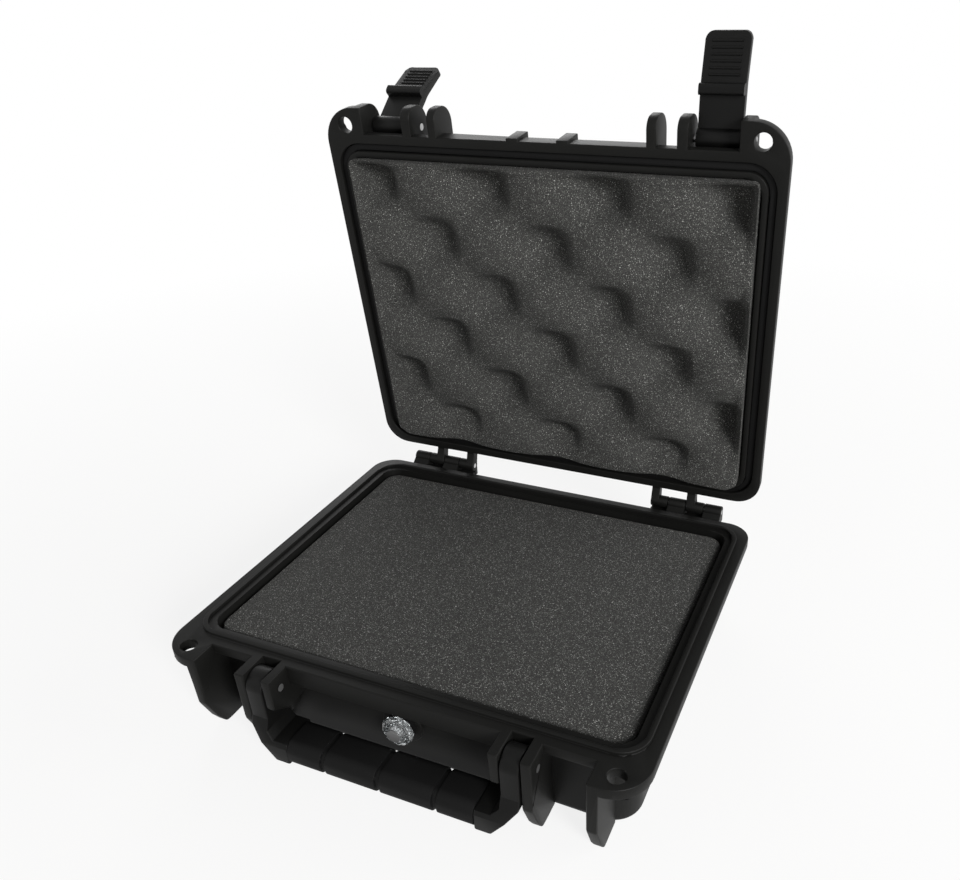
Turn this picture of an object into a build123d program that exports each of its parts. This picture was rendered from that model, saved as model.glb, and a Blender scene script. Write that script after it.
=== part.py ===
from build123d import *
import os
from math import atan2, cos, degrees, radians, sin

os.makedirs("parts", exist_ok=True)

# Hard protective case for a phone, moulded in black plastic: a base and a lid with
# overhanging rims, two pinned hinges, two snap latches, a swing handle, a purge
# valve and foam in both halves.
# Millimetres. X runs along the case, +Y to the hinges, +Z up. The origin is the
# centre of the flat underside. The lid is drawn shut and then swung open.

# Case as a whole
case_length = 210.0
case_width = 166.5
base_depth = 41.5
lid_depth = 30.0
rim_corner = 12.0
overhang = 7.0
wall = 3.0
floor_thickness = 3.0
draft = 1.5
body_corner = 13.0
inner_corner = 8.0
base_edge_round = 3.5
lid_edge_round = 6.0
rim_thickness = 5.0
seal_gap = 0.3
lid_open_angle = 84.0

# Front corner lugs with padlock holes
lug_width = 20.0
lug_corner = 15.5
padlock_hole_radius = 3.5
padlock_hole_inset = 11.0
padlock_hole_front = 3.8

# Front skirts between the inner fins
base_skirt_depth = 9.5
lid_skirt_depth = 7.5
skirt_wall = 2.6
lid_bump_width = 5.5
lid_bump_reach = 1.2
lid_bump_height = 12.0
lid_bump_spacing = 23.0

# Fins on the base and ears on the lid
fin_reach = 11.2
fin_foot_gap = 0.6
fin_front_height = 24.0
fin_bend_height = 34.5
fin_bend_reach = 4.2
fin_toe = 8.0
fin_corner_round = 4.0
fin_toe_round = 2.5
inner_fin_front_height = 14.5
inner_fin_height = 20.0
inner_fin_thickness = 4.0
middle_fin_thickness = 4.5
outer_fin_thickness = 4.5
ear_depth = 16.0
ear_round = 8.2
ear_near_round = 5.0

# Swing handle
arm_thickness = 7.8
arm_clearance = 0.4
arm_radius = 6.7
arm_proud = 0.4
handle_pivot_drop = 7.1
handle_stop_gap = 0.3
handle_drop = 38.7
handle_shoulder = 24.0
handle_bend_drop = 20.0
handle_corner_cut = 11.0
handle_bar_height = 10.6
bar_end_radius = 3.0
bar_forward = 4.3
grip_end_inset = 14.0
grip_height = 11.6
grip_depth = 17.4
grip_proud = 0.4
grip_corner = 4.8
core_height = 6.0
core_depth = 10.0
grip_groove_width = 2.2
grip_groove_depth = 0.9
handle_pin_radius = 1.6

# Latches
latch_width = 17.8
latch_clearance = 1.2
latch_pin_radius = 1.5
latch_pivot_reach = 1.55
latch_pivot_height = 10.3
latch_barrel_radius = 4.0
latch_arm_gap = 1.0
latch_arm_thickness = 3.6
hook_gap = 0.5
hook_thickness = 4.3
hook_reach = 2.3
hook_round = 1.4
latch_length = 37.8
latch_tab_flare = 4.2
latch_tab_taper = 0.8
latch_tip_corner = 3.2
grip_ridge_count = 6
grip_ridge_pitch = 2.3
grip_ridge_start = 2.6
grip_ridge_share = 0.66
grip_ridge_radius = 0.5
right_latch_angle = 96.0
left_latch_angle = 147.0

# Hinges
hinge_reach = 8.05
hinge_end_inset = 53.8
knuckle_radius = 3.0
knuckle_length = 8.9
knuckle_gap = 0.3
hinge_pin_radius = 1.25
strut_width = 4.2
strut_start_gap = 0.6
bracket_gap = 0.4
bracket_thickness = 3.0
bracket_rib_drop = 12.0
stop_heel_length = 6.4
stop_gap = 0.3
running_clearance = 0.05

# Seal
seal_inset = 5.8
bead_width = 2.2
bead_height = 1.4
groove_width = 3.4
groove_depth = 3.6
gasket_width = 3.0
gasket_height = 2.0

# Foam
foam_clearance = 0.5
base_foam_recess = 2.0
lid_foam_proud = 1.0
dimple_pitch_x = 28.3
dimple_pitch_y = 25.3
dimple_shift_y = 14.6
# each dimple is a stack of steps, given by its widths at their ends and their depths
dimple_sides = 12
dimple_radii = (9.5, 7.9, 5.4, 2.6)
dimple_steps = (1.6, 7.2, 2.6)

# Purge valve
valve_drop = 20.8
valve_pad_radius = 9.0
valve_pad_height = 0.35
valve_inner_pad_height = 1.0
bushing_radius = 4.0
bushing_flange_radius = 4.7
bushing_flange_height = 1.4
bushing_end = 1.0
nut_across_flats = 10.0
nut_thickness = 2.5
seal_washer_radius = 6.4
seal_washer_thickness = 1.6
knob_gap = 0.3
knob_radius = 7.1
knob_height = 4.4
knob_flute_count = 8
knob_flute_radius = 1.3
knob_face_radius = 4.6
stem_radius = 1.9
stem_head_radius = 2.9
stem_head_height = 0.7
nut_pocket_clearance = 0.6

# Places worked out from the sizes above
rim_z = base_depth
lid_z = rim_z + seal_gap
front_edge = -case_width / 2
back_edge = case_width / 2
body_length = case_length - 2 * overhang
body_width = case_width - 2 * overhang
inner_length = body_length - 2 * wall
inner_width = body_width - 2 * wall
lug_inner_x = case_length / 2 - lug_width
# the fins, the ears and the lugs end in one plane
fin_front = front_edge - fin_reach
# a depth that stays inside the drafted wall from top to bottom
root_y = -(body_width / 2 - 0.65 * wall)
slot_half = arm_thickness / 2 + arm_clearance
# from each lug inwards: outer fin, latch, middle fin, handle arm, inner fin
bay_half = latch_width / 2 + latch_clearance
outer_fin_x = lug_inner_x + outer_fin_thickness / 2
latch_x = lug_inner_x - bay_half
middle_fin_x = latch_x - bay_half - middle_fin_thickness / 2
arm_x = middle_fin_x - middle_fin_thickness / 2 - slot_half
inner_fin_x = arm_x - slot_half - inner_fin_thickness / 2
skirt_half = inner_fin_x
slot_back = fin_front - arm_proud + 2 * arm_radius + handle_stop_gap
handle_y = slot_back - handle_stop_gap - arm_radius
handle_z = rim_z - handle_pivot_drop
latch_y = front_edge - latch_pivot_reach
latch_z = lid_z + latch_pivot_height
hinge_y = back_edge + hinge_reach
hinge_z = rim_z + seal_gap / 2
knuckle_step = knuckle_length + knuckle_gap
hinge_inner_end = case_length / 2 - hinge_end_inset
hinge_length = 4 * knuckle_length + 3 * knuckle_gap
valve_z = rim_z - valve_drop
valve_pad_y = -body_width / 2 - valve_pad_height
hinge_axis = Axis((0, hinge_y, hinge_z), (1, 0, 0))
latch_axis = Axis((0, latch_y, latch_z), (1, 0, 0))


# lugs seen from above: straight sides and one large outer corner
lug_sketch = RectangleRounded(case_length, -2 * fin_front, lug_corner)
lug_sketch -= Rectangle(2 * lug_inner_x, case_length)
lug_sketch &= Pos(0, (fin_front + front_edge + rim_corner) / 2) * Rectangle(
    case_length, rim_corner + fin_reach
)


def rim_outline():
    # rim seen from above: a rounded rectangle with a lug at each front corner
    RectangleRounded(case_length, case_width, rim_corner)
    add(lug_sketch)


def padlock_holes():
    hole_x = case_length / 2 - padlock_hole_inset
    hole_y = front_edge - padlock_hole_front
    with Locations((-hole_x, hole_y), (hole_x, hole_y)):
        Circle(padlock_hole_radius)


def seal_ring(width):
    # ring of the given width that follows the rim
    ring_length = case_length - 2 * seal_inset
    ring_width = case_width - 2 * seal_inset
    RectangleRounded(ring_length + width, ring_width + width, rim_corner)
    RectangleRounded(
        ring_length - width, ring_width - width, rim_corner - width, mode=Mode.SUBTRACT
    )


# Base shell: a moulded tub with a flat rim, front fins, handle slots, hinge brackets
# and a seal bead
with BuildPart() as base_shell:
    with BuildSketch(Plane.XY.offset(rim_z)):
        RectangleRounded(body_length, body_width, body_corner)
    extrude(amount=-base_depth, taper=draft)
    fillet(base_shell.faces().sort_by(Axis.Z)[0].edges(), base_edge_round)
    with BuildSketch(Plane.XY.offset(rim_z)):
        rim_outline()
    extrude(amount=-rim_thickness)
    with BuildSketch(Plane.XY.offset(rim_z)):
        with Locations((0, front_edge + skirt_wall / 2)):
            Rectangle(2 * skirt_half, skirt_wall)
    extrude(amount=-base_skirt_depth)
    # long fins beside the latches
    for side in (-1, 1):
        for fin_x, thickness in (
            (middle_fin_x, middle_fin_thickness),
            (outer_fin_x, outer_fin_thickness),
        ):
            with BuildSketch(Plane.YZ.offset(side * fin_x)) as long_fin:
                with BuildLine():
                    Polyline(
                        (root_y, rim_z),
                        (fin_front, rim_z),
                        (fin_front, rim_z - fin_front_height),
                        (fin_front + fin_bend_reach, rim_z - fin_bend_height),
                        (fin_front + fin_toe, fin_foot_gap),
                        (root_y, fin_foot_gap),
                        close=True,
                    )
                make_face()
                fin_points = long_fin.vertices().group_by(Axis.X)
                fillet(fin_points[0].sort_by(Axis.Y)[0], fin_corner_round)
                fin_points = long_fin.vertices().group_by(Axis.Y)
                fillet(fin_points[0].sort_by(Axis.X)[0], fin_toe_round)
            extrude(amount=thickness / 2, both=True)
        # short fins on the inner side of the handle arms
        with BuildSketch(Plane.YZ.offset(side * inner_fin_x)) as short_fin:
            with BuildLine():
                Polyline(
                    (root_y, rim_z),
                    (fin_front, rim_z),
                    (fin_front, rim_z - inner_fin_front_height),
                    (fin_front + fin_toe, rim_z - inner_fin_height),
                    (root_y, rim_z - inner_fin_height),
                    close=True,
                )
            make_face()
        extrude(amount=inner_fin_thickness / 2, both=True)
        # slot for the handle arm, with the pad that the arm hangs against
        with BuildSketch(Plane.XY.offset(rim_z)):
            with Locations((side * arm_x, front_edge)):
                Rectangle(2 * slot_half, 2 * (slot_back - front_edge))
        extrude(amount=-rim_thickness, mode=Mode.SUBTRACT)
        with BuildSketch(Plane.XY.offset(rim_z)):
            with Locations((side * arm_x, (slot_back + root_y) / 2)):
                Rectangle(2 * slot_half, root_y - slot_back)
        extrude(amount=-handle_shoulder - 4.0)
    # pads that make the wall flat at the valve
    with BuildSketch(Plane.XZ.offset(-valve_pad_y)):
        with Locations((0, valve_z)):
            Circle(valve_pad_radius)
    extrude(amount=-wall / 2)
    # hollow inside
    with BuildSketch(Plane.XY.offset(rim_z)):
        RectangleRounded(inner_length, inner_width, inner_corner)
    extrude(amount=-(base_depth - floor_thickness), taper=draft, mode=Mode.SUBTRACT)
    inner_pad_y = -inner_width / 2 + valve_inner_pad_height
    with BuildSketch(Plane.XZ.offset(-inner_pad_y)):
        with Locations((0, valve_z)):
            Circle(valve_pad_radius)
    extrude(amount=wall / 2)
    with BuildSketch(Plane.XZ.offset(-inner_pad_y)):
        with Locations((0, valve_z)):
            Circle(bushing_radius + running_clearance)
    extrude(amount=3 * wall, both=True, mode=Mode.SUBTRACT)
    # seal bead on the rim
    with BuildSketch(Plane.XY.offset(rim_z)):
        seal_ring(bead_width)
    extrude(amount=bead_height)
    # padlock holes
    with BuildSketch(Plane.XY.offset(rim_z)):
        padlock_holes()
    extrude(amount=-rim_thickness, mode=Mode.SUBTRACT)
    # handle pin bores
    for side in (-1, 1):
        with BuildSketch(Plane.YZ.offset(side * arm_x)):
            with Locations((handle_y, handle_z)):
                Circle(handle_pin_radius + running_clearance)
        extrude(
            amount=slot_half + middle_fin_thickness + 0.1, both=True, mode=Mode.SUBTRACT
        )
    # hinge brackets: a plate under each barrel, ribs below it, and two knuckles
    for side in (-1, 1):
        plate_x = side * (hinge_inner_end + hinge_length / 2)
        plate_top = hinge_z - knuckle_radius - bracket_gap
        with BuildSketch(Plane.XY.offset(plate_top)):
            with Locations((plate_x, (back_edge + hinge_y) / 2 - 1.4)):
                Rectangle(hinge_length, hinge_reach + 1.2)
        extrude(amount=-bracket_thickness)
        for step in (1, 3):
            knuckle_x = side * (hinge_inner_end + knuckle_length / 2 + step * knuckle_step)
            with BuildSketch(Plane.YZ.offset(knuckle_x)):
                with Locations((hinge_y, hinge_z)):
                    Circle(knuckle_radius)
                with BuildLine():
                    Polyline(
                        (back_edge - 1.0, plate_top - 1.0),
                        (hinge_y - knuckle_radius, hinge_z),
                        (hinge_y + knuckle_radius, hinge_z),
                        (hinge_y + knuckle_radius, plate_top - bracket_thickness),
                        (back_edge - 1.0, plate_top - bracket_thickness),
                        close=True,
                    )
                make_face()
            extrude(amount=knuckle_length / 2, both=True)
            with BuildSketch(Plane.YZ.offset(knuckle_x)):
                with BuildLine():
                    Polyline(
                        (-root_y, rim_z - rim_thickness),
                        (back_edge - 1.0, rim_z - rim_thickness),
                        (hinge_y, plate_top - 1.0),
                        (hinge_y, plate_top - bracket_thickness),
                        (-root_y, plate_top - bracket_rib_drop),
                        close=True,
                    )
                make_face()
            extrude(amount=1.5, both=True)
        with BuildSketch(Plane.YZ.offset(plate_x)):
            with Locations((hinge_y, hinge_z)):
                Circle(hinge_pin_radius + running_clearance)
        extrude(amount=hinge_length / 2 + 1, both=True, mode=Mode.SUBTRACT)
base_shell.part.label = "base_shell"
export_step(base_shell.part, "parts/base_shell.step")

# Lid shell: the same outline, with ears for the latches and handle, a gasket groove
# and the lid's half of each hinge
with BuildPart() as lid_shell:
    with BuildSketch(Plane.XY.offset(lid_z)):
        RectangleRounded(body_length, body_width, body_corner)
    extrude(amount=lid_depth, taper=draft)
    fillet(lid_shell.faces().sort_by(Axis.Z)[-1].edges(), lid_edge_round)
    with BuildSketch(Plane.XY.offset(lid_z)):
        rim_outline()
    extrude(amount=rim_thickness)
    with BuildSketch(Plane.XY.offset(lid_z)):
        with Locations((0, front_edge + skirt_wall / 2)):
            Rectangle(2 * skirt_half, skirt_wall)
    extrude(amount=lid_skirt_depth)
    with BuildSketch(Plane.XY.offset(lid_z)):
        bump_depth = root_y - front_edge + lid_bump_reach
        with Locations(
            (-lid_bump_spacing / 2, root_y - bump_depth / 2),
            (lid_bump_spacing / 2, root_y - bump_depth / 2),
        ):
            Rectangle(lid_bump_width, bump_depth)
    extrude(amount=lid_bump_height)
    # ears
    for side in (-1, 1):
        for ear_x, thickness in (
            (inner_fin_x, inner_fin_thickness),
            (middle_fin_x, middle_fin_thickness),
            (outer_fin_x, outer_fin_thickness),
        ):
            with BuildSketch(Plane.YZ.offset(side * ear_x)) as ear:
                with Locations(((root_y + fin_front) / 2, lid_z + ear_depth / 2)):
                    Rectangle(root_y - fin_front, ear_depth)
                fillet(ear.vertices().group_by(Axis.X)[0].sort_by(Axis.Y)[-1], ear_round)
                fillet(ear.vertices().group_by(Axis.Y)[0].sort_by(Axis.X)[0], ear_near_round)
            extrude(amount=thickness / 2, both=True)
        with BuildSketch(Plane.YZ.offset(side * latch_x)):
            with Locations((latch_y, latch_z)):
                Circle(latch_pin_radius + running_clearance)
        extrude(
            amount=bay_half + outer_fin_thickness + 0.1, both=True, mode=Mode.SUBTRACT
        )
    # hollow inside
    with BuildSketch(Plane.XY.offset(lid_z)):
        RectangleRounded(inner_length, inner_width, inner_corner)
    extrude(amount=lid_depth - floor_thickness, taper=draft, mode=Mode.SUBTRACT)
    # gasket groove
    with BuildSketch(Plane.XY.offset(lid_z)):
        seal_ring(groove_width)
    extrude(amount=groove_depth, mode=Mode.SUBTRACT)
    with BuildSketch(Plane.XY.offset(lid_z)):
        padlock_holes()
    extrude(amount=rim_thickness, mode=Mode.SUBTRACT)
    # hinge knuckles on struts, each with a heel that stops the lid when it is open
    for side in (-1, 1):
        for step in (0, 2):
            knuckle_start = hinge_inner_end + step * knuckle_step
            knuckle_x = side * (knuckle_start + knuckle_length / 2)
            strut_x = side * (knuckle_start + strut_width / 2)
            with BuildSketch(Plane.YZ.offset(knuckle_x)):
                with Locations((hinge_y, hinge_z)):
                    Circle(knuckle_radius)
            extrude(amount=knuckle_length / 2, both=True)
            with BuildSketch(Plane.YZ.offset(strut_x)):
                with BuildLine():
                    Polyline(
                        (back_edge - 1.5, lid_z),
                        (back_edge + strut_start_gap, lid_z),
                        (hinge_y - 1.0, hinge_z - knuckle_radius + 0.4),
                        (hinge_y, hinge_z),
                        (hinge_y, hinge_z + knuckle_radius),
                        (back_edge - 1.5, lid_z + rim_thickness),
                        close=True,
                    )
                make_face()
            extrude(amount=strut_width / 2, both=True)
            # the heel is drawn as it stands with the lid open
            open_frame = Plane(
                origin=(knuckle_x, hinge_y, hinge_z),
                x_dir=(0, cos(radians(lid_open_angle)), sin(radians(lid_open_angle))),
                z_dir=(1, 0, 0),
            )
            with BuildSketch(open_frame):
                with Locations(((knuckle_radius - stop_gap) / 2, -stop_heel_length / 2)):
                    Rectangle(knuckle_radius - stop_gap, stop_heel_length)
            extrude(amount=knuckle_length / 2, both=True)
        pin_x = side * (hinge_inner_end + hinge_length / 2)
        with BuildSketch(Plane.YZ.offset(pin_x)):
            with Locations((hinge_y, hinge_z)):
                Circle(hinge_pin_radius + running_clearance)
        extrude(amount=hinge_length / 2 + 1, both=True, mode=Mode.SUBTRACT)
lid_shell.part = lid_shell.part.rotate(hinge_axis, -lid_open_angle)
lid_shell.part.label = "lid_shell"
export_step(lid_shell.part, "parts/lid_shell.step")

# Lid gasket: a moulded rubber ring seated in the bottom of the lid's groove
with BuildPart() as lid_gasket:
    with BuildSketch(Plane.XY.offset(lid_z + groove_depth - gasket_height)):
        seal_ring(gasket_width)
    extrude(amount=gasket_height)
lid_gasket.part = lid_gasket.part.rotate(hinge_axis, -lid_open_angle)
lid_gasket.part.label = "lid_gasket"
export_step(lid_gasket.part, "parts/lid_gasket.step")

# Base foam: a plain block that fills the tub to just below the rim, with a pocket
# behind the valve's nut
with BuildPart() as base_foam:
    with BuildSketch(Plane.XY.offset(rim_z)):
        RectangleRounded(
            inner_length - 2 * foam_clearance,
            inner_width - 2 * foam_clearance,
            inner_corner - foam_clearance,
        )
    extrude(amount=-(base_depth - floor_thickness), taper=draft)
    split(bisect_by=Plane.XY.offset(rim_z - base_foam_recess), keep=Keep.BOTTOM)
    pocket_depth = valve_inner_pad_height + nut_thickness + bushing_end + nut_pocket_clearance
    with Locations((0, -inner_width / 2 + pocket_depth / 2, valve_z)):
        Cylinder(
            valve_pad_radius + nut_pocket_clearance,
            pocket_depth,
            rotation=(90, 0, 0),
            mode=Mode.SUBTRACT,
        )
base_foam.part.label = "base_foam"
export_step(base_foam.part, "parts/base_foam.step")

# Lid foam: egg-crate foam on the lid's roof, with dimples in staggered rows. Each dimple
# is wide at its mouth, steep in the middle and flat at its bottom.
dimple_places = []
column_count = int(inner_length / 2 / dimple_pitch_x)
row_count = int(inner_width / dimple_pitch_y)
for column in range(-column_count, column_count + 1):
    for row in range(-row_count, row_count + 1):
        dimple_y = dimple_shift_y + row * dimple_pitch_y
        fits = abs(dimple_y) < inner_width / 2 - 0.5 * dimple_radii[0]
        if (column + row) % 2 == 0 and fits:
            dimple_places.append((column * dimple_pitch_x, dimple_y))
with BuildPart() as lid_foam:
    with BuildSketch(Plane.XY.offset(lid_z)):
        RectangleRounded(
            inner_length - 2 * foam_clearance,
            inner_width - 2 * foam_clearance,
            inner_corner - foam_clearance,
        )
    extrude(amount=lid_depth - floor_thickness, taper=draft)
    extrude(lid_foam.faces().sort_by(Axis.Z)[0], amount=lid_foam_proud)
    dimple_z = lid_z - lid_foam_proud
    for upper, lower, height in zip(dimple_radii, dimple_radii[1:], dimple_steps):
        with BuildSketch(Plane.XY.offset(dimple_z)):
            with Locations(*dimple_places):
                RegularPolygon(upper, dimple_sides, major_radius=False)
        slope = degrees(atan2(upper - lower, height))
        extrude(amount=height, taper=slope, mode=Mode.SUBTRACT)
        dimple_z += height
lid_foam.part = lid_foam.part.rotate(hinge_axis, -lid_open_angle)
lid_foam.part.label = "lid_foam"
export_step(lid_foam.part, "parts/lid_foam.step")

# Hinge pins: steel, one through each barrel
for hand, side in (("left", -1), ("right", 1)):
    with BuildPart() as hinge_pin:
        with BuildSketch(Plane.YZ.offset(side * (hinge_inner_end + hinge_length / 2))):
            with Locations((hinge_y, hinge_z)):
                Circle(hinge_pin_radius)
        extrude(amount=hinge_length / 2, both=True)
    hinge_pin.part.label = f"hinge_pin_{hand}"
    export_step(hinge_pin.part, f"parts/hinge_pin_{hand}.step")

# Latches: a barrel on a pin, an arm, a hook that catches under the base's rim, and a
# flared tab with ridges on its inner face. Drawn locked and then swung open.
hook_top = latch_pivot_height + seal_gap + rim_thickness + hook_gap
hook_bottom = hook_top + hook_thickness
hook_tip = front_edge + hook_reach
arm_inner = front_edge - latch_arm_gap
arm_outer = arm_inner - latch_arm_thickness
tab_end_inner = arm_inner - latch_tab_flare
tab_end_outer = arm_outer - latch_tab_flare + latch_tab_taper
tab_length = latch_length - hook_bottom
for hand, side, open_angle in (
    ("left", -1, left_latch_angle),
    ("right", 1, right_latch_angle),
):
    with BuildPart() as latch:
        with BuildSketch(Plane.YZ.offset(side * latch_x)) as latch_side:
            with BuildLine():
                Polyline(
                    (latch_y, latch_z + latch_barrel_radius / 2),
                    (arm_inner, latch_z),
                    (arm_inner, latch_z - hook_top),
                    (hook_tip, latch_z - hook_top),
                    (hook_tip, latch_z - hook_bottom),
                    (arm_inner, latch_z - hook_bottom),
                    (tab_end_inner, latch_z - latch_length),
                    (tab_end_outer, latch_z - latch_length),
                    (arm_outer, latch_z - hook_bottom),
                    (arm_outer, latch_z - hook_top / 2),
                    (latch_y - latch_barrel_radius, latch_z),
                    close=True,
                )
            make_face()
            hook_points = latch_side.vertices().group_by(Axis.X)[-1]
            fillet(hook_points, hook_round)
            with Locations((latch_y, latch_z)):
                Circle(latch_barrel_radius)
        extrude(amount=latch_width / 2, both=True)
        fillet(latch.edges().filter_by(Axis.Y).group_by(Axis.Z)[0], latch_tip_corner)
        # grip ridges across the tab's inner face
        for ridge in range(grip_ridge_count):
            along = grip_ridge_start + ridge * grip_ridge_pitch
            ridge_y = arm_inner - along / tab_length * latch_tab_flare
            with BuildSketch(Plane.YZ.offset(side * latch_x)):
                with Locations((ridge_y, latch_z - hook_bottom - along)):
                    Circle(grip_ridge_radius)
            extrude(amount=grip_ridge_share * latch_width / 2, both=True)
        with BuildSketch(Plane.YZ.offset(side * latch_x)):
            with Locations((latch_y, latch_z)):
                Circle(latch_pin_radius + running_clearance)
        extrude(amount=latch_width / 2 + 0.1, both=True, mode=Mode.SUBTRACT)
    latch.part = latch.part.rotate(latch_axis, -open_angle).rotate(hinge_axis, -lid_open_angle)
    latch.part.label = f"latch_{hand}"
    export_step(latch.part, f"parts/latch_{hand}.step")

    # Latch pins: steel, from the middle ear to the outer ear
    with BuildPart() as latch_pin:
        with BuildSketch(Plane.YZ.offset(side * latch_x)):
            with Locations((latch_y, latch_z)):
                Circle(latch_pin_radius)
        extrude(amount=bay_half + outer_fin_thickness, both=True)
    latch_pin.part = latch_pin.part.rotate(hinge_axis, -lid_open_angle)
    latch_pin.part.label = f"latch_pin_{hand}"
    export_step(latch_pin.part, f"parts/latch_pin_{hand}.step")

# Handle frame: a U of stiff plastic whose arms hang from pins in the base's fins. The
# bar bows forward, and is thinner where the grip is moulded round it.
arm_front = handle_y - arm_radius
arm_back = handle_y + arm_radius
bar_front = arm_front - bar_forward + grip_proud
bar_back = arm_back - grip_proud
bar_y = (bar_front + bar_back) / 2
grip_length = 2 * (arm_x - grip_end_inset)
grip_groove_pitch = 0.3 * grip_length
bar_bottom = rim_z - handle_drop
bar_top = bar_bottom + handle_bar_height
bar_z = bar_bottom + grip_height / 2
arm_bend_z = rim_z - handle_bend_drop
half_width = arm_x + arm_thickness / 2
inner_half = arm_x - arm_thickness / 2
with BuildPart() as handle_frame:
    with BuildSketch(Plane.XZ.offset(-handle_y)) as handle_outline:
        with BuildLine():
            Polyline(
                (-half_width, rim_z),
                (-half_width, rim_z - handle_shoulder),
                (-half_width + handle_corner_cut, bar_bottom + grip_proud),
                (half_width - handle_corner_cut, bar_bottom + grip_proud),
                (half_width, rim_z - handle_shoulder),
                (half_width, rim_z),
                (inner_half, rim_z),
                (inner_half, bar_top + bar_end_radius),
                (inner_half - bar_end_radius, bar_top),
                (-inner_half + bar_end_radius, bar_top),
                (-inner_half, bar_top + bar_end_radius),
                (-inner_half, rim_z),
                close=True,
            )
        make_face()
    extrude(amount=3 * arm_radius, both=True)
    with BuildSketch(Plane.YZ) as handle_side:
        with BuildLine():
            Polyline(
                (arm_front, handle_z),
                (arm_front, arm_bend_z),
                (bar_front, bar_top - 2.0),
                (bar_front, bar_bottom),
                (bar_back, bar_bottom),
                (bar_back, bar_top - 2.0),
                (arm_back, arm_bend_z),
                (arm_back, handle_z),
            )
            ThreePointArc(
                (arm_back, handle_z), (handle_y, handle_z + arm_radius), (arm_front, handle_z)
            )
        make_face()
    extrude(amount=half_width, both=True, mode=Mode.INTERSECT)
    # room for the grip, and the core that the grip is moulded round
    with Locations((0, bar_y, bar_z)):
        Box(grip_length, 4 * grip_depth, 3 * grip_height, mode=Mode.SUBTRACT)
        Box(grip_length, core_depth, core_height)
    for side in (-1, 1):
        with BuildSketch(Plane.YZ.offset(side * arm_x)):
            with Locations((handle_y, handle_z)):
                Circle(handle_pin_radius + running_clearance)
        extrude(amount=arm_thickness / 2 + 0.1, both=True, mode=Mode.SUBTRACT)
handle_frame.part.label = "handle_frame"
export_step(handle_frame.part, "parts/handle_frame.step")

# Handle grip: soft overmoulding, with grooves round it that leave four pads
with BuildPart() as handle_grip:
    with BuildSketch(Plane.YZ):
        with Locations((bar_y, bar_z)):
            RectangleRounded(grip_depth, grip_height, grip_corner)
            Rectangle(core_depth, core_height, mode=Mode.SUBTRACT)
    extrude(amount=grip_length / 2, both=True)
    for groove in (-1, 0, 1):
        with BuildSketch(Plane.YZ.offset(groove * grip_groove_pitch)):
            with Locations((bar_y, bar_z)):
                Rectangle(2 * grip_depth, 2 * grip_height)
                RectangleRounded(
                    grip_depth - 2 * grip_groove_depth,
                    grip_height - 2 * grip_groove_depth,
                    grip_corner - grip_groove_depth,
                    mode=Mode.SUBTRACT,
                )
        extrude(amount=grip_groove_width / 2, both=True, mode=Mode.SUBTRACT)
handle_grip.part.label = "handle_grip"
export_step(handle_grip.part, "parts/handle_grip.step")

# Handle pins: steel, from the inner fin through the arm to the middle fin
for hand, side in (("left", -1), ("right", 1)):
    pin_start = inner_fin_x - inner_fin_thickness / 2
    pin_end = middle_fin_x + middle_fin_thickness / 2
    with BuildPart() as handle_pin:
        with BuildSketch(Plane.YZ.offset(side * (pin_start + pin_end) / 2)):
            with Locations((handle_y, handle_z)):
                Circle(handle_pin_radius)
        extrude(amount=(pin_end - pin_start) / 2, both=True)
    handle_pin.part.label = f"handle_pin_{hand}"
    export_step(handle_pin.part, f"parts/handle_pin_{hand}.step")

# Valve bushing: a threaded metal tube through the front wall, flanged outside
valve_end_y = inner_pad_y + nut_thickness + bushing_end
with BuildPart() as valve_bushing:
    with BuildSketch(Plane.XZ.offset(-valve_pad_y)):
        with Locations((0, valve_z)):
            Circle(bushing_flange_radius)
    extrude(amount=bushing_flange_height)
    with BuildSketch(Plane.XZ.offset(-valve_pad_y)):
        with Locations((0, valve_z)):
            Circle(bushing_radius)
    extrude(amount=-(valve_end_y - valve_pad_y))
    with BuildSketch(Plane.XZ.offset(-valve_pad_y)):
        with Locations((0, valve_z)):
            Circle(stem_radius + running_clearance)
    extrude(amount=4 * wall, both=True, mode=Mode.SUBTRACT)
valve_bushing.part.label = "valve_bushing"
export_step(valve_bushing.part, "parts/valve_bushing.step")

# Valve nut: holds the bushing from inside
with BuildPart() as valve_nut:
    with BuildSketch(Plane.XZ.offset(-inner_pad_y)):
        with Locations((0, valve_z)):
            RegularPolygon(nut_across_flats / 2, 6, major_radius=False)
            Circle(bushing_radius + running_clearance, mode=Mode.SUBTRACT)
    extrude(amount=-nut_thickness)
valve_nut.part.label = "valve_nut"
export_step(valve_nut.part, "parts/valve_nut.step")

# Valve seal: a flat rubber ring on the wall round the bushing's flange
with BuildPart() as valve_seal:
    with BuildSketch(Plane.XZ.offset(-valve_pad_y)):
        with Locations((0, valve_z)):
            Circle(seal_washer_radius)
            Circle(bushing_flange_radius + running_clearance, mode=Mode.SUBTRACT)
    extrude(amount=seal_washer_thickness)
valve_seal.part.label = "valve_seal"
export_step(valve_seal.part, "parts/valve_seal.step")

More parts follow.
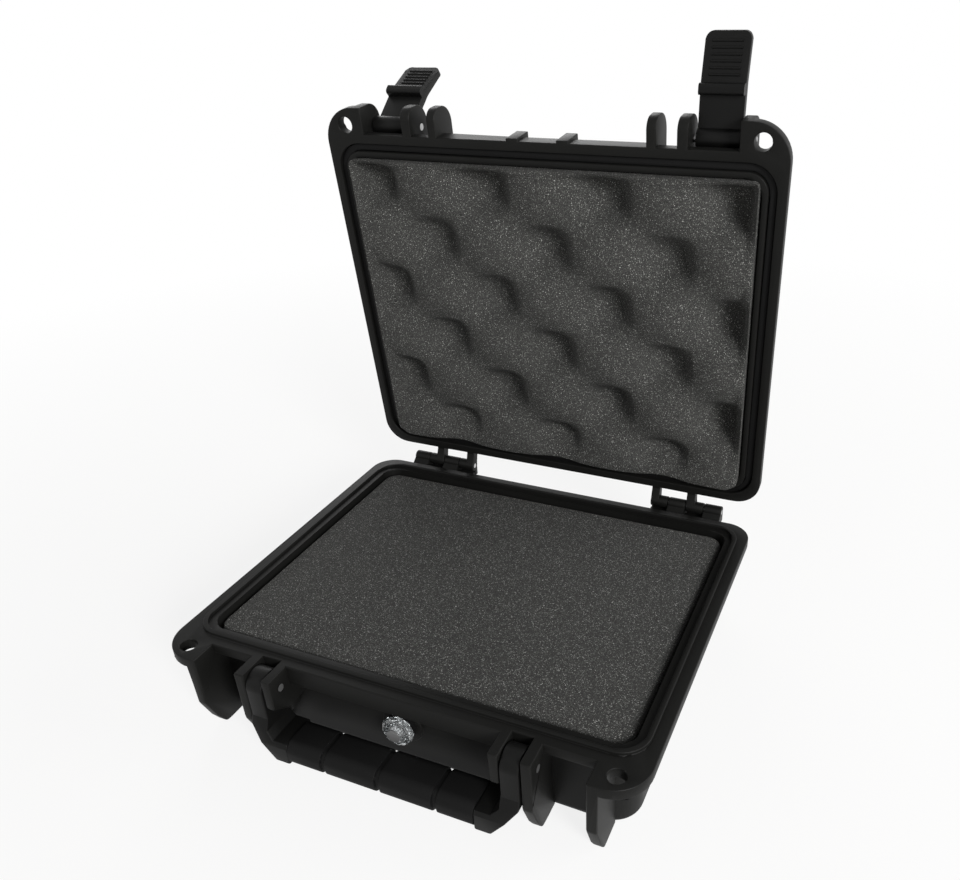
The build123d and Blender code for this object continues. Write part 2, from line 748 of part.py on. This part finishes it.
# Valve knob: clear plastic, with finger flutes and a domed face
knob_back_y = valve_pad_y - seal_washer_thickness - knob_gap
knob_front_y = knob_back_y - knob_height
with BuildPart() as valve_knob:
    with BuildSketch(Plane.XY.offset(valve_z)):
        with BuildLine():
            Polyline(
                (0, knob_back_y),
                (knob_radius - 0.4, knob_back_y),
                (knob_radius, knob_back_y - 0.5),
                (knob_radius, knob_back_y - 0.55 * knob_height),
                (knob_face_radius, knob_front_y),
                (0, knob_front_y),
                close=True,
            )
        make_face()
    revolve(axis=Axis((0, 0, valve_z), (0, 1, 0)))
    with BuildSketch(Plane.XZ.offset(-knob_back_y)):
        with Locations((0, valve_z)):
            with PolarLocations(knob_radius + 0.6 * knob_flute_radius, knob_flute_count):
                Circle(knob_flute_radius)
    extrude(amount=knob_height + 0.1, mode=Mode.SUBTRACT)
    with BuildSketch(Plane.XZ.offset(-knob_back_y)):
        with Locations((0, valve_z)):
            Circle(stem_radius)
    extrude(amount=knob_height + 0.1, mode=Mode.SUBTRACT)
valve_knob.part.label = "valve_knob"
export_step(valve_knob.part, "parts/valve_knob.step")

# Valve stem: a metal screw fixed in the knob, with its slotted head in the knob's face
with BuildPart() as valve_stem:
    with BuildSketch(Plane.XZ.offset(-knob_front_y)):
        with Locations((0, valve_z)):
            Circle(stem_head_radius)
    extrude(amount=stem_head_height)
    with BuildSketch(Plane.XZ.offset(-knob_front_y)):
        with Locations((0, valve_z)):
            Circle(stem_radius)
    extrude(amount=-(valve_end_y - knob_front_y))
valve_stem.part.label = "valve_stem"
export_step(valve_stem.part, "parts/valve_stem.step")
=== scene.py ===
import math

import bpy
from mathutils import Euler, Matrix, Vector


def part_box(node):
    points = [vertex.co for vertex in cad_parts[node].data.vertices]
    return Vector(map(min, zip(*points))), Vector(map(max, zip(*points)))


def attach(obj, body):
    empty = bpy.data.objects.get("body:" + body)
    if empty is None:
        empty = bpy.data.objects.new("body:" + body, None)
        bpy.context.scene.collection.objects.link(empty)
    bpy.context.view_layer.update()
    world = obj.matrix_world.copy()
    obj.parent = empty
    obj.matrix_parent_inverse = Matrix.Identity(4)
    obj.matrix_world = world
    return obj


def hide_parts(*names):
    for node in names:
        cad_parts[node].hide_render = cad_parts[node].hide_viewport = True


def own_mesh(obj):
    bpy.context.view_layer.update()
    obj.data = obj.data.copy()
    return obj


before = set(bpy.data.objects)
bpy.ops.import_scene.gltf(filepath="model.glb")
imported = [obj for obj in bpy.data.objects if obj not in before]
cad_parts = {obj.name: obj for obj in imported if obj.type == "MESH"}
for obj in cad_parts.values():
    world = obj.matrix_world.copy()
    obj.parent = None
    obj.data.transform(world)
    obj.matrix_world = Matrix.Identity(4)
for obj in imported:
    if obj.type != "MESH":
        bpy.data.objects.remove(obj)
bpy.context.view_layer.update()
bpy.ops.object.select_all(action="DESELECT")


# Shells: two tubs injection moulded in black polypropylene, joined by pinned hinges. The
# mould is spark eroded, which leaves a fine even grain that scatters the light, and the
# edges come out rounded.
MM = 0.001
merge_distance = 0.01 * MM


def srgb(code):
    channels = [int(code[i : i + 2], 16) / 255 for i in (1, 3, 5)]
    linear = [c / 12.92 if c <= 0.04045 else ((c + 0.055) / 1.055) ** 2.4 for c in channels]
    return (*linear, 1.0)


def add_node(tree, kind, settings=None, inputs=None, links=None):
    node = tree.nodes.new(kind)
    for name, value in (settings or {}).items():
        setattr(node, name, value)
    for name, value in (inputs or {}).items():
        node.inputs[name].default_value = value
    for name, source in (links or {}).items():
        tree.links.new(source, node.inputs[name])
    return node


def new_material(name, settings):
    material = bpy.data.materials.new(name)
    material.use_nodes = True
    tree = material.node_tree
    shader = tree.nodes["Principled BSDF"]
    for socket, value in settings.items():
        shader.inputs[socket].default_value = value
    place = add_node(tree, "ShaderNodeTexCoord")
    return material, tree, shader, place.outputs["Object"]


def grained_finish(name, colour, lighter, roughness, grain_mm, grain_depth_mm, settings):
    # a fine grain lifts the surface, and the colour and the roughness drift slowly over it
    drift_mm = 45
    material, tree, shader, place = new_material(name, settings)
    grain = add_node(
        tree,
        "ShaderNodeTexNoise",
        inputs={"Scale": 1 / (grain_mm * MM), "Detail": 2.0, "Roughness": 0.55},
        links={"Vector": place},
    )
    drift = add_node(
        tree,
        "ShaderNodeTexNoise",
        inputs={"Scale": 1 / (drift_mm * MM), "Detail": 3.0, "Roughness": 0.6},
        links={"Vector": place},
    )
    mix = add_node(
        tree,
        "ShaderNodeMix",
        {"data_type": "RGBA"},
        {"A": srgb(colour), "B": srgb(lighter)},
        {"Factor": drift.outputs["Fac"]},
    )
    tree.links.new(mix.outputs["Result"], shader.inputs["Base Color"])
    spread = add_node(
        tree,
        "ShaderNodeMapRange",
        inputs={
            "From Min": 0.3,
            "From Max": 0.7,
            "To Min": roughness - 0.01,
            "To Max": roughness + 0.02,
        },
        links={"Value": drift.outputs["Fac"]},
    )
    tree.links.new(spread.outputs["Result"], shader.inputs["Roughness"])
    bump = add_node(
        tree,
        "ShaderNodeBump",
        inputs={"Strength": 0.6, "Distance": grain_depth_mm * MM},
        links={"Height": grain.outputs["Fac"]},
    )
    tree.links.new(bump.outputs["Normal"], shader.inputs["Normal"])
    return material


# real spark grain is about 0.15 mm across, drawn at 0.5 mm so that it shows; carbon
# black in the plastic takes most of its sheen
plastic_sheen = 0.1
shell_plastic = grained_finish(
    "spark_grained_polypropylene",
    colour="#0f0f0e",
    lighter="#171716",
    roughness=0.46,
    grain_mm=0.5,
    grain_depth_mm=0.05,
    settings={"IOR": 1.49, "Specular IOR Level": plastic_sheen},
)


def weigh_edges(mesh, round_mm, soft_round_mm, soft_zone):
    # gives every outer edge the rounding that its neighbours leave room for, and a wider
    # one inside the soft zone; the rims of the small bores stay sharp
    least_bend = math.radians(35)
    least_length = 0.36 * MM
    along = 0.85
    room_share = 0.45
    sides = {}
    for face in mesh.polygons:
        for key in face.edge_keys:
            sides.setdefault(key, []).append((face.normal, face.center))
    at_vertex = [[] for _ in mesh.vertices]
    spans = []
    for edge in mesh.edges:
        a, b = (mesh.vertices[v].co for v in edge.vertices)
        spans.append(b - a)
        for v in edge.vertices:
            at_vertex[v].append(edge.index)
    weights = mesh.attributes.new("bevel_weight_edge", "FLOAT", "EDGE")
    for edge in mesh.edges:
        (one, one_centre), (two, two_centre) = sides[tuple(sorted(edge.vertices))]
        span = spans[edge.index]
        inner = (two_centre - one_centre).dot(one) > 0
        if inner or one.angle(two, 0) < least_bend or span.length < least_length:
            continue
        # the edges that meet this one at an angle give the room, not those that go on
        # along it
        across = [
            spans[other].length
            for v in edge.vertices
            for other in at_vertex[v]
            if other != edge.index
            and abs(spans[other].dot(span)) < along * span.length * spans[other].length
        ]
        middle = mesh.vertices[edge.vertices[0]].co + span / 2
        soft = soft_zone and all(
            low < value / MM < high
            for low, value, high in zip(soft_zone[0], middle, soft_zone[1])
        )
        wanted = (soft_round_mm if soft else round_mm) * MM
        room = room_share * min(across, default=1.0)
        weights.data[edge.index].value = min(wanted, room) / (soft_round_mm * MM)


def moulded_piece(node, body, material, round_mm, soft_round_mm=None, soft_zone=None):
    # a copy of the solid's surface, joined up, with its sharp edges rounded
    bpy.ops.object.select_all(action="DESELECT")
    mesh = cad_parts[node].data.copy()
    piece = bpy.data.objects.new(f"{node}_moulding", mesh)
    bpy.context.scene.collection.objects.link(piece)
    bpy.context.view_layer.objects.active = piece
    piece.select_set(True)
    bpy.ops.object.mode_set(mode="EDIT")
    bpy.ops.mesh.select_all(action="SELECT")
    bpy.ops.mesh.remove_doubles(threshold=merge_distance)
    bpy.ops.mesh.customdata_custom_splitnormals_clear()
    bpy.ops.mesh.dissolve_limited(angle_limit=math.radians(1))
    bpy.ops.object.mode_set(mode="OBJECT")
    soft_round_mm = soft_round_mm or round_mm
    weigh_edges(mesh, round_mm, soft_round_mm, soft_zone)
    bevel = piece.modifiers.new("rounded_edge", "BEVEL")
    bevel.width = soft_round_mm * MM
    bevel.segments = 3
    bevel.limit_method = "WEIGHT"
    bevel.use_clamp_overlap = False
    bpy.ops.object.modifier_apply(modifier="rounded_edge")
    bpy.ops.object.shade_smooth_by_angle(angle=math.radians(20))
    mesh.materials.clear()
    mesh.materials.append(material)
    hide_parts(node)
    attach(piece, body)


# the fins at the base's front have the softest edges
fins_zone = ((-95, -96, 9), (95, -76, 38))
moulded_piece(
    "base_shell",
    "base",
    shell_plastic,
    round_mm=0.5,
    soft_round_mm=1.2,
    soft_zone=fins_zone,
)
moulded_piece("lid_shell", "lid", shell_plastic, round_mm=0.5)


# Lid foam: a sheet of convoluted polyurethane foam, cut by pressing it between rollers
# and glued to the lid's roof. Its flat-topped peaks stand a little out of the lid, and
# bulge over the flange at the hinge edge.

# millimetres in the shut lid's place; dimples stand in staggered rows
foam_half = 94.3
foam_front = -72.6
foam_back = 72.6
foam_corner = 2.5
foam_edge_round = 2.2
foam_edge_drop = 1.0
foam_proud = 4.0
foam_flange_gap = 0.35
foam_roof = 24.0
crate_x = 28.3
crate_y = 25.3
crate_shift = 14.6
crate_depth = 14.5
# a share of each dimple's depth is a slow wave, and the rest is one steep wall
crate_wave_share = 0.62
crate_wave_power = 1.25
crate_wall_width = 0.42
# dimples fade out towards the cut sides, and most of their depth goes at the hinge edge
edge_strip = 5.0
edge_dip = 0.1
hinge_dip_loss = 0.83
hinge_bulge = 3.0
bulge_width = 14.0
bulge_fade = 6.0
bulge_dimple_loss = 0.6
lid_shut_z = 41.8
lid_angle = math.radians(84.0)
hinge = Vector((0, 91.3, 41.65))
grid_step = 1.2
foam_merge_distance = 0.005 * MM


def lid_place(points):
    # from the shut lid's millimetres to the open lid's metres
    turn = Matrix.Rotation(-lid_angle, 4, "X")
    return [((turn @ (Vector(p) - hinge)) + hinge) * MM for p in points]


def soft_step(value):
    value = min(max(value, 0.0), 1.0)
    return value * value * (3 - 2 * value)


def crate_dip(x, y):
    # 0 on a peak and 1 at the bottom of a dimple, with broad peaks and steep walls
    wave = math.cos(math.pi * x / crate_x) * math.cos(math.pi * (y - crate_shift) / crate_y)
    level = 0.5 + 0.5 * wave
    wall = soft_step((level - 0.5) / crate_wall_width)
    return crate_wave_share * level**crate_wave_power + (1 - crate_wave_share) * wall


count_x = round(2 * foam_half / grid_step)
count_y = round((foam_back - foam_front) / grid_step)
points = []
for j in range(count_y + 1):
    for i in range(count_x + 1):
        x = -foam_half + 2 * foam_half * i / count_x
        y = foam_front + (foam_back - foam_front) * j / count_y
        # round the corners by drawing each corner's square into a quarter circle
        over_x = abs(x) - foam_half + foam_corner
        over_y = abs(y) - foam_back + foam_corner
        if over_x > 0 and over_y > 0:
            pull = max(over_x, over_y) / math.hypot(over_x, over_y)
            x = math.copysign(foam_half - foam_corner + over_x * pull, x)
            y = math.copysign(foam_back - foam_corner + over_y * pull, y)
        side_edge = min(foam_half - abs(x), y - foam_front)
        any_edge = min(side_edge, foam_back - y)
        # the hinge edge swells out over the flange, and its dimples are shallow
        swell = soft_step((y - foam_back + bulge_width) / bulge_width)
        side_fade = soft_step(side_edge / edge_strip + edge_dip)
        dip = crate_dip(x, y) * side_fade * (1 - hinge_dip_loss * swell)
        rounding = foam_edge_drop - soft_step(any_edge / foam_edge_round)
        z = lid_shut_z - foam_proud + crate_depth * dip + rounding
        corner_fade = soft_step((foam_half - abs(x)) / bulge_fade)
        bulge_dip = 1 - bulge_dimple_loss * crate_dip(x, foam_back)
        y += hinge_bulge * swell**2 * bulge_dip * corner_fade
        points.append((x, y, z))
faces = []
row = count_x + 1
for j in range(count_y):
    for i in range(count_x):
        a = j * row + i
        faces.append((a, a + row, a + row + 1, a + 1))
border = list(range(row))
border += [j * row + count_x for j in range(1, count_y + 1)]
border += [count_y * row + i for i in range(count_x - 1, -1, -1)]
border += [j * row for j in range(count_y - 1, 0, -1)]
# the cut sides: down to the flange, in to the lid's wall, then back to the roof
rings = [border]
for depth, inside in ((-foam_flange_gap, False), (-foam_flange_gap, True), (foam_roof, True)):
    ring = []
    for index in border:
        x, y, z = points[index]
        ring.append(len(points))
        points.append((x, min(y, foam_back) if inside else y, lid_shut_z + depth))
    rings.append(ring)
for near, far in zip(rings, rings[1:]):
    for k, corner in enumerate(near):
        n = (k + 1) % len(near)
        faces.append((corner, near[n], far[n], far[k]))
faces.append(tuple(rings[-1]))
foam_mesh = bpy.data.meshes.new("lid_foam_sheet")
foam_mesh.from_pydata(lid_place(points), [], faces)
lid_foam = bpy.data.objects.new("lid_foam_sheet", foam_mesh)
bpy.context.scene.collection.objects.link(lid_foam)
bpy.ops.object.select_all(action="DESELECT")
bpy.context.view_layer.objects.active = lid_foam
lid_foam.select_set(True)
bpy.ops.object.mode_set(mode="EDIT")
bpy.ops.mesh.select_all(action="SELECT")
bpy.ops.mesh.remove_doubles(threshold=foam_merge_distance)
bpy.ops.mesh.normals_make_consistent(inside=False)
bpy.ops.object.mode_set(mode="OBJECT")
bpy.ops.object.shade_smooth_by_angle(angle=math.radians(50))

# open cells about 0.45 mm across: the colour paints shade into them as dark specks, and
# painted glints as a few pale specks where cut walls would catch the light
foam_cell_mm = 0.45
foam_cell_depth_mm = 0.3
foam_shade_and_glint_stops = ((0.32, "#151514"), (0.62, "#444442"), (0.69, "#c2c2be"))
foam_skin, foam_tree, foam_shader, foam_place = new_material(
    "open_cell_polyurethane_foam", {"IOR": 1.4, "Roughness": 0.95}
)
cells = add_node(
    foam_tree,
    "ShaderNodeTexNoise",
    inputs={"Scale": 1 / (foam_cell_mm * MM), "Detail": 2.5, "Roughness": 0.7},
    links={"Vector": foam_place},
)
# painted shade and painted glints: the noise's low values turn near black, its middle the
# foam's own grey, and a few high ones near white
ramp = add_node(foam_tree, "ShaderNodeValToRGB", links={"Fac": cells.outputs["Fac"]})
ramp.color_ramp.elements.new(0.5)
for element, (position, colour) in zip(ramp.color_ramp.elements, foam_shade_and_glint_stops):
    element.position = position
    element.color = srgb(colour)
foam_tree.links.new(ramp.outputs["Color"], foam_shader.inputs["Base Color"])
foam_bump = add_node(
    foam_tree,
    "ShaderNodeBump",
    inputs={"Strength": 1.0, "Distance": foam_cell_depth_mm * MM},
    links={"Height": cells.outputs["Fac"]},
)
foam_tree.links.new(foam_bump.outputs["Normal"], foam_shader.inputs["Normal"])
foam_mesh.materials.append(foam_skin)
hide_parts("lid_foam")
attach(lid_foam, "lid")
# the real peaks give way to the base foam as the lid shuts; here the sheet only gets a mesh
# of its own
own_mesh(lid_foam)


# Base foam: a plain block of the same polyurethane foam, cut with a knife and pressed
# into the tub, with corners rounded to the tub's own.
block_clearance = Vector((2.2, 2.2, 0.3)) * MM
block_low, block_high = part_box("base_foam")
bpy.ops.object.select_all(action="DESELECT")
bpy.ops.mesh.primitive_cube_add(size=1, location=(block_low + block_high) / 2)
base_foam = bpy.context.object
base_foam.name = "base_foam_block"
base_foam.scale = block_high - block_low - block_clearance
bpy.ops.object.transform_apply(location=True, rotation=True, scale=True)
half_height = (block_high.z - block_low.z) / 2
weights = base_foam.data.attributes.new("bevel_weight_edge", "FLOAT", "EDGE")
for edge in base_foam.data.edges:
    a, b = (base_foam.data.vertices[v].co for v in edge.vertices)
    weights.data[edge.index].value = 1.0 if abs(a.z - b.z) > half_height else 0.0
for name, width_mm, segments, method in (
    ("block_corner", 7.0, 6, "WEIGHT"),
    ("cut_edge", 1.2, 3, "ANGLE"),
):
    bevel = base_foam.modifiers.new(name, "BEVEL")
    bevel.width = width_mm * MM
    bevel.segments = segments
    bevel.limit_method = method
    bevel.angle_limit = math.radians(60)
    bpy.ops.object.modifier_apply(modifier=name)
bpy.ops.object.shade_smooth_by_angle(angle=math.radians(40))
base_foam.data.materials.append(foam_skin)
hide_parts("base_foam")
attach(base_foam, "base")


# Latches: two levers injection moulded in black nylon, with a hook at the foot and a
# ribbed thumb tab, each on a steel pin through the lid's ears. Nylon fills its mould
# well and comes out a little smoother and shinier than the shells.
moulded_nylon = grained_finish(
    "moulded_nylon",
    colour="#0b0b0b",
    lighter="#111110",
    roughness=0.42,
    grain_mm=0.6,
    grain_depth_mm=0.03,
    settings={"IOR": 1.53, "Specular IOR Level": plastic_sheen},
)
for side in ("left", "right"):
    moulded_piece(
        f"latch_{side}", f"latch_{side}", moulded_nylon, round_mm=0.25
    )


# Handle: a stiff U of the same nylon that swings on two pins in the base, with a soft
# grip of thermoplastic rubber moulded over its bar, which is matt and takes no shine.
moulded_piece("handle_frame", "handle", moulded_nylon, round_mm=0.8)
soft_rubber = grained_finish(
    "thermoplastic_rubber",
    colour="#0b0b0b",
    lighter="#101010",
    roughness=0.6,
    grain_mm=0.5,
    grain_depth_mm=0.04,
    settings={"IOR": 1.5, "Specular IOR Level": plastic_sheen},
)
moulded_piece("handle_grip", "handle", soft_rubber, round_mm=0.3)


# Seals: a rubber ring pressed into the lid's groove, which meets the bead on the base's
# rim, and a flat rubber washer on the base's wall round the valve.
def dress(node, material):
    # a solid that is shown as it is takes the material
    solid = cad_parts[node]
    solid.data.materials.clear()
    solid.data.materials.append(material)


moulded_piece("lid_gasket", "lid", soft_rubber, round_mm=0.4)
dress("valve_seal", soft_rubber)


# Pins and the valve's metal: drawn and turned stainless steel, pressed or screwed into
# the mouldings. Fine turning marks, drawn at 0.4 mm so that they show, dull its shine.
turned_steel = grained_finish(
    "turned_stainless_steel",
    colour="#b4b4b4",
    lighter="#c6c6c6",
    roughness=0.42,
    grain_mm=0.4,
    grain_depth_mm=0.01,
    settings={"Metallic": 1.0},
)
for place in ("hinge", "latch", "handle"):
    for side in ("left", "right"):
        dress(f"{place}_pin_{side}", turned_steel)
for name in ("valve_bushing", "valve_nut", "valve_stem"):
    dress(name, turned_steel)


# Valve knob: clear polycarbonate, moulded with flat polished facets like a cut stone,
# with a sunk ring round its raised middle. It is fixed to the steel stem and turns it.
clear_polycarbonate = grained_finish(
    "clear_polycarbonate",
    colour="#e9eef0",
    lighter="#f0f3f4",
    roughness=0.1,
    grain_mm=0.8,
    grain_depth_mm=0.005,
    settings={"IOR": 1.585, "Transmission Weight": 0.95},
)
knob_facets = 8
knob_bore = 1.95
# radius and height of each ring in millimetres, and whether it turns by half a facet
knob_rings = (
    (6.5, 0.0, False),
    (7.0, 0.6, False),
    (7.0, 2.2, True),
    (6.0, 3.4, True),
    (5.3, 3.4, False),
    (4.9, 1.2, False),
    (4.5, 1.2, False),
    (4.3, 3.6, True),
    (3.2, 4.35, True),
    (knob_bore, 4.35, False),
    (knob_bore, 0.0, False),
)
knob_low, knob_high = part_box("valve_knob")
knob_middle = (knob_low + knob_high) / 2
bpy.ops.object.select_all(action="DESELECT")
bpy.ops.mesh.primitive_circle_add(
    vertices=knob_facets,
    radius=knob_bore * MM,
    location=(knob_middle.x, knob_high.y, knob_middle.z),
    rotation=(math.pi / 2, 0, 0),
)
knob = bpy.context.object
knob.name = "valve_knob_faceted"
bpy.ops.object.transform_apply(location=False, rotation=True, scale=False)
bpy.ops.object.mode_set(mode="EDIT")
bpy.ops.mesh.select_all(action="SELECT")
radius = knob_bore
height = 0.0
for next_radius, next_height, turned in knob_rings:
    bpy.ops.mesh.extrude_region_move(
        TRANSFORM_OT_translate={"value": (0, (height - next_height) * MM, 0)}
    )
    grow = next_radius / radius
    bpy.ops.transform.resize(value=(grow, 1, grow))
    if turned:
        bpy.ops.transform.rotate(value=math.pi / knob_facets, orient_axis="Y")
    radius, height = next_radius, next_height
bpy.ops.mesh.select_all(action="SELECT")
bpy.ops.mesh.remove_doubles(threshold=merge_distance)
bpy.ops.mesh.quads_convert_to_tris()
bpy.ops.mesh.normals_make_consistent(inside=False)
bpy.ops.object.mode_set(mode="OBJECT")
bpy.ops.object.transform_apply(location=True, rotation=True, scale=True)
bpy.ops.object.shade_flat()
knob.data.materials.append(clear_polycarbonate)
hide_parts("valve_knob")
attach(knob, "valve_knob")


# Floor: a pale matt sheet that keeps the case's shadow. To the camera it turns white
# further out, as a product shot's backdrop does. Its sizes are in metres.
floor_size = 8
floor_drop = 0.0002
shadow_reach = 0.2
white_reach = 0.7
near_whiteness = 0.84


def seen_rays(tree):
    # 1 for rays from the camera, and for rays that metal and clear plastic send out
    rays = add_node(tree, "ShaderNodeLightPath")
    seen = rays.outputs["Is Camera Ray"]
    for ray in ("Is Glossy Ray", "Is Transmission Ray"):
        either = add_node(tree, "ShaderNodeMath", {"operation": "MAXIMUM"})
        tree.links.new(seen, either.inputs[0])
        tree.links.new(rays.outputs[ray], either.inputs[1])
        seen = either.outputs["Value"]
    return seen


bpy.ops.object.select_all(action="DESELECT")
bpy.ops.mesh.primitive_plane_add(size=floor_size, location=(0, 0, -floor_drop))
floor = bpy.context.object
floor.name = "floor"
floor_paint, floor_tree, floor_shader, floor_place = new_material(
    "pale_floor", {"Base Color": srgb("#eeedeb"), "Roughness": 0.8}
)
distance = add_node(
    floor_tree,
    "ShaderNodeVectorMath",
    {"operation": "LENGTH"},
    links={"Vector": floor_place},
)
whiteness = add_node(
    floor_tree,
    "ShaderNodeMapRange",
    inputs={
        "From Min": shadow_reach,
        "From Max": white_reach,
        "To Min": near_whiteness,
        "To Max": 1.0,
    },
    links={"Value": distance.outputs["Value"]},
)
share = add_node(floor_tree, "ShaderNodeMath", {"operation": "MULTIPLY"})
floor_tree.links.new(whiteness.outputs["Result"], share.inputs[1])
floor_tree.links.new(seen_rays(floor_tree), share.inputs[0])
glow = add_node(floor_tree, "ShaderNodeEmission", inputs={"Strength": 1.0})
floor_mix = add_node(floor_tree, "ShaderNodeMixShader")
floor_tree.links.new(share.outputs["Value"], floor_mix.inputs[0])
floor_tree.links.new(floor_shader.outputs["BSDF"], floor_mix.inputs[1])
floor_tree.links.new(glow.outputs["Emission"], floor_mix.inputs[2])
floor_surface = floor_tree.nodes["Material Output"].inputs["Surface"]
floor_tree.links.new(floor_mix.outputs["Shader"], floor_surface)
floor.data.materials.append(floor_paint)


# Studio: a dim white world, a soft key lamp at the upper right front, a window light at
# the right, and weak lamps at the left front and the back that open the shadows.
world_glow = 0.1
world = bpy.data.worlds.new("studio")
bpy.context.scene.world = world
world.use_nodes = True
world_tree = world.node_tree
backdrop = world_tree.nodes["Background"]
backdrop.inputs["Color"].default_value = srgb("#ffffff")
world_level = add_node(
    world_tree,
    "ShaderNodeMapRange",
    inputs={"To Min": world_glow, "To Max": 1.0},
    links={"Value": seen_rays(world_tree)},
)
world_tree.links.new(world_level.outputs["Result"], backdrop.inputs["Strength"])
case_middle = Vector((0, 0.02, 0.1))
for name, place, width, watts in (
    ("key", (1.25, -1.0, 0.78), 0.5, 34.0),
    ("window", (1.3, 0.5, 0.5), 0.8, 10.0),
    ("fill", (-0.9, -0.9, 0.8), 1.0, 2.0),
    ("back", (-0.7, 1.3, 0.8), 0.9, 7.0),
):
    lamp_data = bpy.data.lights.new(name, "AREA")
    lamp_data.size = width
    lamp_data.energy = watts
    lamp = bpy.data.objects.new(name, lamp_data)
    lamp.location = place
    aim = case_middle - Vector(place)
    lamp.rotation_euler = aim.to_track_quat("-Z", "Y").to_euler()
    bpy.context.scene.collection.objects.link(lamp)


# Camera: stands where the picture was taken from, at the right front and a little above
# the open lid, with its view shifted to the left and up. Its turn is given in degrees.
camera_place = Vector((158.65, -284.92, 278.98)) * MM
camera_tilt = 58.459
camera_roll = 1.53
camera_heading = 23.014
camera_turn = Euler([math.radians(a) for a in (camera_tilt, camera_roll, camera_heading)])
camera_data = bpy.data.cameras.new("camera")
camera_data.lens = 32.988
camera_data.sensor_width = 36.0
camera_data.shift_x = -0.0692
camera_data.shift_y = 0.0657
camera_data.clip_start = 0.01
camera = bpy.data.objects.new("camera", camera_data)
camera.matrix_world = Matrix.LocRotScale(camera_place, camera_turn, None)
bpy.context.scene.collection.objects.link(camera)
bpy.context.scene.camera = camera
bpy.context.scene.view_settings.view_transform = "Standard"
